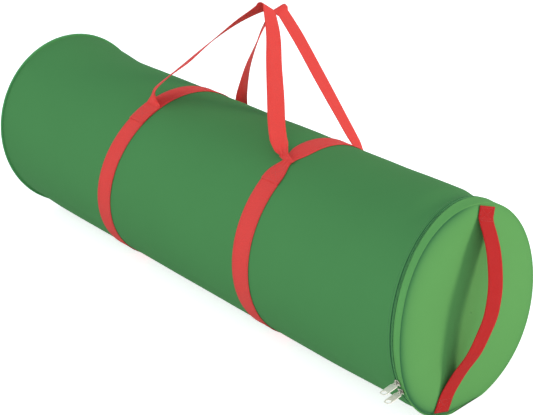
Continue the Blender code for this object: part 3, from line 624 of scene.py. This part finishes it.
def seam_ridge(angle):
    """Raised fold of the lengthwise seam."""
    past = abs((angle - SEAM_ANGLE + 180) % 360 - 180) * math.radians(1) * TUBE_RADIUS
    return RIDGE_HEIGHT * (1 - ease((past - RIDGE_HALF) / RIDGE_FADE))


ROUND = spaced(0, 360, AROUND)[:-1]


def tube_rows(inset, plain):
    """Rows of the tube's cloth from its far end to its mouth. Plain ones have no waves or seam."""
    stations = spaced(FAR_X + 0.0065, ZIP_X - LEAN_REACH / 4, 120)
    rows = []
    for x, out in FAR_EDGE:
        rows.append([tube_point(FAR_X + x, a, 0 if plain else out, inset) for a in ROUND])
    if plain:
        rows = [[tube_point(FAR_X + x, a, -inset, inset) for a in ROUND] for x in (0.0016, 0.004)]
    for x in stations:
        row = []
        for a in ROUND:
            out = -inset if plain else billow(x, a) + seam_ridge(a) - inset
            row.append(tube_point(x, a, out, floor_lift(x) + inset))
        rows.append(row)
    keys = [rows[-2], rows[-1]]
    for radius, u in ((MOUTH_RADIUS - 0.0001, -0.022), (MOUTH_RADIUS, -0.0085), (MOUTH_RADIUS, -0.0053)):
        keys.append([around(ZIP_RING, radius - inset, a, u) for a in ROUND])
    keep_above(keys[2:], inset + 0.0001)
    return rows[:-1] + smooth_rows(keys[1:], 4)


def hem_rows(side):
    """Folded hem beside the zip, on the bag's side (-1) or the lid's (1)."""
    return [[around(ZIP_RING, radius, a, side * u) for a in ROUND] for radius, u in HEM]


def make_bag():
    outer = tube_rows(0.0, False) + hem_rows(-1)
    inner = tube_rows(CLOTH, True)
    hem = len(outer) - len(HEM)
    rows = outer + inner[::-1]
    along = [row[AROUND // 4].x for row in rows]
    # Painted shade darkens the hem rows toward the zip
    piece = grid("bag_cloth", rows, BODY,
                 lambda r, c: (along[r % len(rows)], c / AROUND * 2 * math.pi * TUBE_RADIUS),
                 round_row=True, round_col=True,
                 seam_shade=lambda r, c: HEM_SHADE[r - hem] if 0 <= r - hem < len(HEM) else 0.0)
    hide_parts("body_tube")
    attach(piece, "bag")
    lines = []
    for a in (SEAM_ANGLE - 1.1, SEAM_ANGLE + 1.1):
        lines.append([(tube_point(x, a, 0.0007), tube_point(x, a, 1) - tube_point(x, a))
                      for x in spaced(FAR_X + 0.006, ZIP_X - 0.05, 60)])
    lines.append([(around(ZIP_RING, HEM_STITCH_RADIUS, a, -HEM_STITCH_SETBACK),
                   around(ZIP_RING, 1, a) - around(ZIP_RING, 0, a)) for a in spaced(0, 360, 120)])
    piece = sew("bag_seam_stitches", lines, GREEN_THREAD)
    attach(piece, "bag")


def band_of_ring(name, radius, alongs, thick, finish, node, body, span=None, count=AROUND):
    """Flat tape round the zip's ring."""
    turns = spaced(*(span or (0, 360)), count)
    if not span:
        turns = turns[:-1]
    steps = spaced(*alongs, 4)
    outer = [[around(ZIP_RING, radius, a, u) for a in turns] for u in steps]
    inner = [[around(ZIP_RING, radius - thick, a, u) for a in turns] for u in steps]
    keep_above(outer + inner, 0.0002)
    piece = shell(name, outer, inner, finish,
                  lambda r, c: (r * 0.003, math.radians(turns[1] - turns[0]) * c * radius), closed=not span)
    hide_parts(node)
    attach(piece, body)


def make_linings():
    """Bindings and facing that cover the raw edges inside."""
    reach = (FAR_X + FAR_FLARE + 0.06, ZIP_X - LEAN_REACH - 0.06)
    half = math.degrees(SEAM_WIDTH / 2 / TUBE_RADIUS)
    turns = spaced(SEAM_ANGLE - half, SEAM_ANGLE + half, 8)
    outer = [[tube_point(x, a, -CLOTH - 2 * GAP) for a in turns] for x in spaced(*reach, 40)]
    inner = [[tube_point(x, a, -CLOTH - 2 * GAP - FACING) for a in turns] for x in spaced(*reach, 40)]
    piece = shell("bag_seam_tape", outer, inner, TRIM, lambda r, c: (r * 0.012, c * 0.0025),
                  closed=False)
    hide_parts("body_seam_binding")
    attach(piece, "bag")
    alongs = (-FACING_SETBACK - FACING_WIDTH, -FACING_SETBACK)
    band_of_ring("mouth_facing_tape", FACING_OUTSIDE, alongs, FACING, TRIM, "mouth_facing",
                 "bag")
    rows = []
    for out in (-CLOTH - GAP, -CLOTH - GAP - FACING):
        rows.append([[tube_point(x, a, out, -out) for a in ROUND] for x in spaced(FAR_X, FAR_X + 0.016, 6)])
    piece = shell("far_seam_tape", rows[0], rows[1], TRIM,
                  lambda r, c: (r * 0.0027, c * 0.0073))
    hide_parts("far_seam_binding")
    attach(piece, "bag")


def disc_rows(point, shares):
    return [[point(a, share) for a in ROUND] for share in shares]


def make_far_end():
    shares = [1, 0.995, 0.985, 0.97, 0.94, 0.9, 0.84, 0.77, 0.69, 0.6, 0.5, 0.4, 0.3, 0.2, 0.1, 0.03, 0.0005]

    def panel(a, share, out):
        pull = 0.0006 * (1 - ease((1 - share) / 0.015))
        sway = 0.0006 * waves(share * math.cos(math.radians(a)), share * math.sin(math.radians(a)), 0.9, 4)
        crown = FAR_CROWN * (1 - share**2) + sway * (1 - share**8)
        return around(FAR_RING, FAR_RADIUS * share, a, -GAP - crown - out + pull)

    outer = disc_rows(lambda a, share: panel(a, share, CLOTH), shares)
    inner = disc_rows(lambda a, share: panel(a, share, 0), shares)
    rows = outer + inner[::-1]
    piece = grid("far_panel_cloth", rows, BODY,
                 lambda r, c: tuple(rows[r % len(rows)][c % len(ROUND)].yz), round_row=True, round_col=True)
    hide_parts("far_end_panel")
    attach(piece, "bag")
    middle = FAR_RADIUS + PIPING_RADIUS + GAP
    sides, count = 12, 360
    rows = []
    for k in range(count):
        a = 360 * k / count
        row = []
        for n in range(sides):
            turn = 2 * math.pi * n / sides
            size = PIPING_RADIUS * (1 + 0.02 * math.sin(k * 1.9) + 0.02 * math.sin(k * 0.73 + n))
            point = around(FAR_RING, middle + size * math.cos(turn), a, size * math.sin(turn))
            point.z = max(point.z, 0)
            row.append(point)
        rows.append(row)
    piece = grid("far_piping_cord", rows, PIPING_WITH_PAINTED_HIGHLIGHT, lambda r, c: (c * 0.0013, r * 0.00305),
                 round_row=True, round_col=True)
    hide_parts("far_piping")
    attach(piece, "bag")


# Webbing


def pinch(side, angle):
    """Share of its width that a band keeps where a handle gathers it."""
    return 1 - 0.55 * bump(angle, JOINT_ANGLES["front"], 7) if side == "right" else 1.0


def gathers(width, x):
    """Height of the small folds across webbing that is drawn in to a share of its width."""
    return (1 - width) * GATHER_HEIGHT * (1 + math.cos(x / WEB_WIDTH * 6 * math.pi))


def on_band(side, layer):
    """Place function of webbing that lies in a layer on a band: step is an angle."""
    def at(angle, x, out):
        width = pinch(side, angle)
        centre = band_centre(side, angle)
        high = layer + out + gathers(width, x)
        return tube_point(centre + x * width, angle, high, WEB + GAP - high)
    return at


def lap_end(place):
    """Angle at which the sewn end of a handle stops."""
    down = -1 if place == "front" else 1
    return JOINT_ANGLES[place] + down * math.degrees(LAP_LENGTH / TUBE_RADIUS)


def make_bands():
    lines = []
    for side in BAND_PLACES:
        at = on_band(side, GAP + WEB / 2)
        piece = webbing(f"band_{side}_web", ROUND, at, RED, closed=True)
        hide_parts(f"band_{side}")
        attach(piece, "bag")
        for x in (-BAND_STITCH, BAND_STITCH):
            lines.append(web_line(at, [(a, x) for a in spaced(0, 360, 180)], WEB / 2))
        for place, joint in JOINT_ANGLES.items():
            end = lap_end(place)
            at = on_band(side, LAP_OUTSIDE - TUBE_RADIUS - WEB / 2)
            near, far = joint + (end - joint) * 0.35, joint + (end - joint) * 0.94
            for places in sewn_box(near, far, LAP_STITCH):
                lines.append(web_line(at, straight(places), WEB / 2))
    piece = sew("band_stitches", lines, RED_THREAD)
    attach(piece, "bag")


def joint_point(place, side):
    angle = JOINT_ANGLES[place]
    ring = ring_frame((band_centre(side, angle), 0, AXIS_HEIGHT), 0)
    return around(ring, JOINT_RADIUS, angle)


def leg_frames(place, side, count=64):
    """Frames up one leg of a handle, from its joint to the point where the handle folds."""
    foot = joint_point(place, side)
    apex = Vector(APEX_PLACES[place]) + Vector((0, 0, AXIS_HEIGHT))
    leg = f"{place}_{side}"
    length = (apex - foot).length
    bows = ((0, (0, 0, 0)), *LEG_BOWS[leg], (1, (0, 0, 0)))
    centres = []
    for n in range(count + 1):
        share = n / count * (0.45 + 0.55 * n / count)
        bow = Vector([glide([(at, shares[i]) for at, shares in bows], share) for i in range(3)])
        centres.append((share, foot.lerp(apex, share) + bow * length))
    frames = []
    for n, (share, centre) in enumerate(centres):
        along = centres[min(n + 1, count)][1] - centres[max(n - 1, 0)][1]
        along.normalize()
        free = ease(share / LEG_ROOT)
        level = Vector((1, 0, 0)) - along * along.x * free
        level.normalize()
        turn = math.radians(glide(LEG_TURNS[leg], share))
        across = level * math.cos(turn) + along.cross(level) * math.sin(turn)
        frames.append((centre, across, glide(LEG_WIDTHS[leg], share)))
    return frames


def handle_frames(place):
    """Frames over a whole handle: centre, across, outward and share of its width."""
    left, right = leg_frames(place, "left"), leg_frames(place, "right")
    apex = left[-1][0]
    across = (left[-1][1] + right[-1][1]).normalized()
    left = [part for part in left if (part[0] - apex).length > FOLD_REACH]
    right = [part for part in right if (part[0] - apex).length > FOLD_REACH]
    sides = [apex + (part[0] - apex).normalized() * FOLD_REACH for part in (left[-1], right[-1])]
    fold = []
    for n in range(FOLD_STEPS + 1):
        share = n / FOLD_STEPS
        point = sides[0].lerp(apex, share).lerp(apex.lerp(sides[1], share), share)
        fold.append((point, across, 1.0))
    parts = left + fold + right[::-1]
    frames = []
    for n, (centre, across, width) in enumerate(parts):
        along = parts[min(n + 1, len(parts) - 1)][0] - parts[max(n - 1, 0)][0]
        outward = along.cross(across).normalized()
        frames.append((centre, across, outward, width))
    return frames


def make_handles():
    """Carry handles, each one length of webbing from one sewn end over the top to the other."""
    for place, joint in JOINT_ANGLES.items():
        frames = handle_frames(place)
        flat = spaced(lap_end(place), joint, 24)[:-1]
        steps = [("left", a) for a in flat] + list(range(1, len(frames) - 1))
        steps += [("right", a) for a in flat[::-1]]
        turned = {side: frames[n][1].x < 0 for side, n in (("left", 0), ("right", -1))}

        def at(step, x, out, frames=frames, turned=turned, first=frames[0][2], last=frames[-1][2]):
            if isinstance(step, tuple):
                side, a = step
                sewn = on_band(side, LAP_OUTSIDE - TUBE_RADIUS - WEB / 2)
                radial = Vector((0, -math.cos(math.radians(a)), math.sin(math.radians(a))))
                facing = 1 if (first if side == "left" else last).dot(radial) > 0 else -1
                return sewn(a, -x if turned[side] else x, out * facing)
            centre, across, outward, width = frames[step]
            return centre + across * x * width + outward * (out + gathers(width, x))

        piece = webbing(f"handle_{place}_web", steps, at, RED)
        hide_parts(f"handle_{place}", f"handle_lap_{place}_left", f"handle_lap_{place}_right")
        axis = (joint_point(place, "left") + joint_point(place, "right")) / 2
        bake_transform(piece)


# Lid and zip


def lid_wall(inset, angle, share):
    """Point of the lid's side wall, from the zip at share 0 to the rim at 1."""
    low = around(ZIP_RING, MOUTH_RADIUS - inset, angle, LID_SEAT)
    return low.lerp(lid_point(angle, 1.0, -GAP, inset), share)


def seam_depth(angle):
    """Share of its full depth that the seam inside the lid's rim has at an angle."""
    return 0.12 + 0.88 * ease((math.cos(math.radians(angle)) + 0.3) / 0.5)


def face_out(angle, share):
    """How far the lid's face stands out from its rim: crown, rolled rim, seam valley and slight waves."""
    inside = TUBE_RADIUS * (1 - share)
    turn = math.radians(angle)
    deep = seam_depth(angle)
    roll = 0.0006 * bump(inside, 0.0008, 0.0009)
    past = inside - RIM_SEAM_INSET
    valley = RIM_SEAM_DEPTH * deep * (bump(past, 0, 0.0013) if past < 0 else bump(past, 0, 0.0048))
    sway = 0.0006 * waves(share * math.cos(turn), share * math.sin(turn), 0.8, 7) * (1 - share**6)
    pucker = 0.0008 * bump(angle, -28, 24) * bump(inside, 0.016, 0.013) * math.sin(math.radians(angle * 24))
    return CLOTH + LID_CROWN * (1 - share**2) + roll - valley + sway + pucker


def rim_seam_shade(angle, inside):
    """Share of painted shade that darkens the cloth in the seam inside the lid's rim."""
    past = inside - 0.003
    line = 0.4 * bump(past, 0, 0.0022)
    soft = 0.6 * math.exp(-past / 0.008) if past > 0 else 0.6 * bump(past, 0, 0.0012)
    return (line + soft) * seam_depth(angle)


def make_lid():
    outer = hem_rows(1)[::-1]
    outer += [[lid_wall(0, a, share) for a in ROUND] for share in (0.02, 0.12, 0.3, 0.5, 0.7, 0.86, 0.97)]
    edge = ((0.0000, 0.0005), (0.0003, 0.0011))
    outer += [[lid_point(a, 1 - inside / TUBE_RADIUS, along) for a in ROUND] for inside, along in edge]
    walls = len(outer) - 1
    insides = [0.0006, 0.0011, 0.0016, 0.0021, 0.0026, 0.0031, 0.0037, 0.0045, 0.0056, 0.007, 0.009, 0.012,
               0.015, 0.019, 0.025, 0.033, 0.043, 0.055, 0.07, 0.085, 0.1, 0.115, 0.13, 0.145, 0.157, 0.165,
               0.1679]
    shares = [1 - inside / TUBE_RADIUS for inside in insides]
    outer += [[lid_point(a, share, face_out(a, share)) for a in ROUND] for share in shares]
    inner = [[lid_wall(CLOTH, a, share) for a in ROUND] for share in (0, 0.3, 0.6, 0.9)]
    inner += [[lid_point(a, share, face_out(a, share) - CLOTH) for a in ROUND]
              for share in [0.99, 0.98, 0.97] + shares[8:]]
    rows = outer + inner[::-1]
    keep_above(rows, 0.0004)

    def uv(r, c):
        r = r % len(rows)
        if r <= walls:
            return (r * 0.0015, c / AROUND * 2 * math.pi * TUBE_RADIUS)
        return tuple(rows[r][c % len(ROUND)].yz)

    # The painted shade of the seam lies one row of points further in than the seam's valley
    face = {walls + 2 + n: inside for n, inside in enumerate(insides)}

    # Painted shade: hem rows darken toward the zip, face rows in the seam inside the rim
    def seam_shade(r, c):
        if r < len(HEM):
            return LID_HEM_SHADE[r]
        return rim_seam_shade(ROUND[c], face[r]) if r in face else 0.0

    piece = grid("lid_cloth", rows, LID, uv, round_row=True, round_col=True, seam_shade=seam_shade)
    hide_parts("lid_band", "lid_panel")
    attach(piece, "lid")
    rows = []
    for inset in (CLOTH + 2 * GAP, CLOTH + 2 * GAP + FACING):
        rows.append([[lid_wall(inset, a, share) for a in ROUND] for share in (0.6, 0.68, 0.77, 0.85)])
    piece = shell("lid_seam_tape", rows[0], rows[1], TRIM,
                  lambda r, c: (r * 0.0018, c * 0.0073))
    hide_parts("lid_seam_binding")
    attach(piece, "lid")


def on_lid(sideways, upward):
    share = math.hypot(sideways, upward) / TUBE_RADIUS
    angle = math.degrees(math.atan2(upward, -sideways))
    return lid_point(angle, share, CLOTH + LID_CROWN * max(1 - share**2, 0))


def make_strap():
    """Grab strap: sewn flat at both ends, standing out from the lid between them."""
    turn, lean = math.radians(STRAP_TURN), math.radians(STRAP_LEAN)
    down = Vector((-math.sin(turn), -math.cos(turn)))
    across = Vector((math.cos(turn), -math.sin(turn)))
    stand = Vector((math.cos(lean), 0, math.sin(lean)))
    frames = []
    for n in range(STRAP_STEPS + 1):
        share = n / STRAP_STEPS
        place = across * -STRAP_OFFSET + down * (-STRAP_TOP + (STRAP_TOP + STRAP_BOTTOM) * share)
        edges = [on_lid(*(place + across * reach)) for reach in (-WEB_WIDTH / 2, WEB_WIDTH / 2)]
        high = STRAP_SEAT + STRAP_BOW * max(glide(STRAP_BOWS, share), 0)
        frames.append(((edges[0] + edges[1]) / 2 + stand * high, (edges[1] - edges[0]).normalized()))

    def at(n, x, out):
        low = min(int(n), STRAP_STEPS - 1)
        part = n - low
        centre = frames[low][0].lerp(frames[low + 1][0], part)
        side = frames[low][1].lerp(frames[low + 1][1], part)
        along = frames[min(low + 2, STRAP_STEPS)][0] - frames[max(low - 1, 0)][0]
        outward = side.cross(along).normalized()
        if outward.x < 0:
            outward = -outward
        return centre + side * x + outward * out

    piece = webbing("lid_strap_web", range(STRAP_STEPS + 1), at, STRAP_RED)
    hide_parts("lid_handle")
    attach(piece, "lid")
    lines = []
    for near, far in ((0.9, 6.6), (STRAP_STEPS - 0.9, STRAP_STEPS - 6.6)):
        for places in sewn_box(near, far, STRAP_STITCH):
            lines.append(web_line(at, straight(places), WEB / 2))
    piece = sew("lid_strap_stitches", lines, STRAP_THREAD)
    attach(piece, "lid")


def chain_ends():
    return HINGE_ANGLE + HINGE_HALF - 360, HINGE_ANGLE - HINGE_HALF


def make_coil(side, facing, body):
    """Coil of zip teeth: one long spring of plastic thread, flattened against the tape."""
    start, end = chain_ends()
    clear = math.degrees((STOP_LENGTH + GAP) / TUBE_RADIUS)
    start, end = start + clear, end - clear
    count, half_turn = COIL_TURNS * COIL_STEPS, COIL_STEPS / 2
    path = []
    for k in range(count + 1):
        turn = 2 * math.pi * k / COIL_STEPS
        a = start + (end - start) * (k + (half_turn if facing > 0 else 0)) / (count + half_turn)
        u = facing * (COIL_MIDDLE + COIL_REACH * math.cos(turn))
        radius = (CHAIN_INSIDE + CHAIN_OUTSIDE) / 2 + COIL_RISE * math.sin(turn)
        path.append(around(ZIP_RING, radius, a, u))
    level = ZIP_RING.to_3x3() @ Vector((1, 0, 0))
    rows = []
    for k, point in enumerate(path):
        along = (path[min(k + 1, len(path) - 1)] - path[max(k - 1, 0)]).normalized()
        first = (level.cross(along) if abs(along.x) < 0.9 else along.orthogonal()).normalized()
        second = along.cross(first).normalized()
        first = second.cross(along)
        rows.append([point + (first * math.cos(t) + second * math.sin(t)) * COIL_THREAD
                     for t in (0.785, 2.356, 3.927, 5.498)])
    piece = grid(f"zip_coil_{side}", rows, COIL_LIGHTENED, lambda r, c: (c * 0.0005, r * 0.0005),
                 round_row=True, caps=True)
    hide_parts(f"zip_chain_{side}")
    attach(piece, body)


def make_zip():
    band_of_ring("zip_tape_bag_cloth", TAPE_OUTSIDE, (-CHAIN_SPLIT, -TAPE_WIDTH), TAPE, TAPE_FINISH,
                 "zip_tape_body", "bag", chain_ends(), 160)
    turns = spaced(*chain_ends(), 160)
    rows = []
    for inset in (MOUTH_RADIUS - TAPE_OUTSIDE + TAPE / 6, MOUTH_RADIUS - TAPE_OUTSIDE + TAPE * 5 / 6):
        part = [[around(ZIP_RING, MOUTH_RADIUS - inset, a, u) for a in turns] for u in (CHAIN_SPLIT, 0.0025)]
        part += [[lid_wall(inset, a, share) for a in turns] for share in (0, 0.17, 0.35)]
        rows.append(part)
    keep_above(rows[0] + rows[1], 0.0004)
    piece = shell("zip_tape_lid_cloth", rows[0], rows[1], TAPE_FINISH,
                  lambda r, c: (r * 0.002, c * 0.006), closed=False)
    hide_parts("zip_tape_lid")
    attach(piece, "lid")
    make_coil("body", -1, "bag")
    make_coil("lid", 1, "lid")


def make_hinge():
    """Cloth tab over the uncut strip on which the lid turns."""
    half = HINGE_HALF - 0.6
    turns = spaced(HINGE_ANGLE - half, HINGE_ANGLE + half, 24)
    steps = spaced(-HINGE_REACH, HINGE_REACH, 14)
    rows = []
    for radius in (MOUTH_RADIUS, MOUTH_RADIUS - CLOTH):
        rows.append([[around(ZIP_RING, radius, a, u) for a in turns] for u in steps])
    piece = shell("hinge_cloth", rows[0], rows[1], LID, lambda r, c: (r * 0.0005, c * 0.003),
                  closed=False)
    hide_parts("lid_hinge_strip")
    start = around(ZIP_RING, MOUTH_RADIUS, HINGE_ANGLE, -0.0028)
    end = around(ZIP_RING, MOUTH_RADIUS, HINGE_ANGLE, 0.0028)
    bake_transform(piece)


METAL_NODES = ("zip_slider_upper", "zip_slider_lower", "zip_pull_upper", "zip_pull_lower",
               "zip_stop_body_low", "zip_stop_body_high", "zip_stop_lid_low", "zip_stop_lid_high")


def dress_metal():
    """Plated finish and softly rounded edges on the metal pieces."""
    for name in METAL_NODES:
        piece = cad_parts[name]
        piece.data.materials.clear()
        piece.data.materials.append(SLIDER_STEEL if "slider" in name else STEEL)
        soft = piece.modifiers.new("soft_edges", "BEVEL")
        soft.width = EDGE_BEVEL
        soft.segments = 2
        soft.limit_method = "ANGLE"
        soft.harden_normals = False


make_bag()
make_linings()
make_far_end()
make_bands()
make_handles()
make_lid()
make_strap()
make_zip()
make_hinge()
dress_metal()


# Floor and light


def make_stage():
    mesh = bpy.data.meshes.new("floor")
    signs = ((-1, -1), (1, -1), (1, 1), (-1, 1))
    corners = [(x * FLOOR_HALF, y * FLOOR_HALF, -FLOOR_DROP) for x, y in signs]
    mesh.from_pydata(corners, [], [(0, 1, 2, 3)])
    floor = bpy.data.objects.new("floor", mesh)
    bpy.context.scene.collection.objects.link(floor)
    made = Nodes("floor_paint")
    made.shader.inputs["Base Color"].default_value = (FLOOR_GREY, FLOOR_GREY, FLOOR_GREY, 1)
    made.finish(0.9, specular=0.0)
    rays = made.tree.nodes.new("ShaderNodeLightPath").outputs
    seen = made.calc("MAXIMUM", rays["Is Camera Ray"], rays["Is Glossy Ray"])
    glow = made.tree.nodes.new("ShaderNodeEmission")
    made.put(glow.inputs["Strength"], made.calc("MULTIPLY", seen, FLOOR_GLOW))
    both = made.tree.nodes.new("ShaderNodeAddShader")
    made.tree.links.new(made.shader.outputs[0], both.inputs[0])
    made.tree.links.new(glow.outputs[0], both.inputs[1])
    made.tree.links.new(both.outputs[0], made.tree.nodes["Material Output"].inputs["Surface"])
    mesh.materials.append(made.material)


def make_light(name, direction, strength, size, tint=(1, 1, 1), distance=4.0):
    """Round softbox that points at the bag from a direction."""
    data = bpy.data.lights.new(name, "AREA")
    data.shape = "DISK"
    data.size = size
    data.energy = strength * math.pi**2 * distance**2
    data.color = tint
    lamp = bpy.data.objects.new(name, data)
    bpy.context.scene.collection.objects.link(lamp)
    way = Vector(direction).normalized()
    lamp.location = Vector(LIGHT_TARGET) + way * distance
    lamp.rotation_euler = way.to_track_quat("Z", "Y").to_euler()


def make_world():
    world = bpy.data.worlds.new("studio")
    bpy.context.scene.world = world
    world.use_nodes = True
    tree = world.node_tree
    tree.nodes.clear()
    fill, white = (tree.nodes.new("ShaderNodeBackground") for _ in range(2))
    fill.inputs["Strength"].default_value = FILL_STRENGTH
    white.inputs["Strength"].default_value = 1.0
    white.inputs["Color"].default_value = (1, 1, 1, 1)
    fill.inputs["Color"].default_value = FILL_COLOUR
    rays = tree.nodes.new("ShaderNodeLightPath").outputs
    seen = rays["Is Camera Ray"]
    for other in ("Is Glossy Ray", "Is Transmission Ray"):
        join = tree.nodes.new("ShaderNodeMath")
        join.operation = "MAXIMUM"
        tree.links.new(seen, join.inputs[0])
        tree.links.new(rays[other], join.inputs[1])
        seen = join.outputs[0]
    mix = tree.nodes.new("ShaderNodeMixShader")
    out = tree.nodes.new("ShaderNodeOutputWorld")
    tree.links.new(seen, mix.inputs[0])
    tree.links.new(fill.outputs[0], mix.inputs[1])
    tree.links.new(white.outputs[0], mix.inputs[2])
    tree.links.new(mix.outputs[0], out.inputs["Surface"])


make_stage()
make_light("key", (0.76, 0.60, 0.24), strength=0.46, size=1.0, tint=(1.22, 1.0, 0.87))
make_light("top", (-0.3, -0.8, 1.0), strength=0.27, size=5.0)
make_light("front", (0.65, -0.61, 0.45), strength=0.17, size=2.5)
make_light("side", (-0.35, -1.0, 0.4), strength=0.16, size=3.0)
make_world()
bpy.context.scene.view_settings.view_transform = "Standard"
